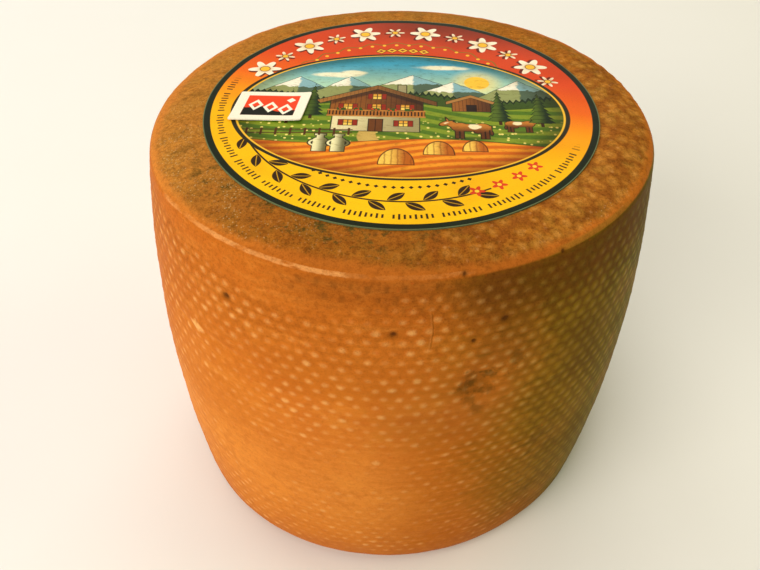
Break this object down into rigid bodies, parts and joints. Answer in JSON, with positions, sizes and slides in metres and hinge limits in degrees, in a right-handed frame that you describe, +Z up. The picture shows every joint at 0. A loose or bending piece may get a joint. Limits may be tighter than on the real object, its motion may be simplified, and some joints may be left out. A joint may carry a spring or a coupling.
{
  "type": "tete de moine cheese wheel",
  "caption": "Whole washed-rind mountain cheese: a squat barrel on a flat foot, with a round printed paper label and a small card sticker on its top.",
  "frame": {"origin": "centre of the flat foot that the wheel stands on", "axes": "+Z up, through the labelled top; -Y towards someone who reads the label upright, so +X is to their right"},
  "size_m": [0.111, 0.1105, 0.0925],
  "materials": {
    "rind": "satin",
    "label_paper": "satin",
    "card_paper": "satin"
  },
  "bodies": {
    "root": {"cheese_wheel": "rind", "round_label": "label_paper", "card_sticker": "card_paper"}
  },
  "joints": []
}
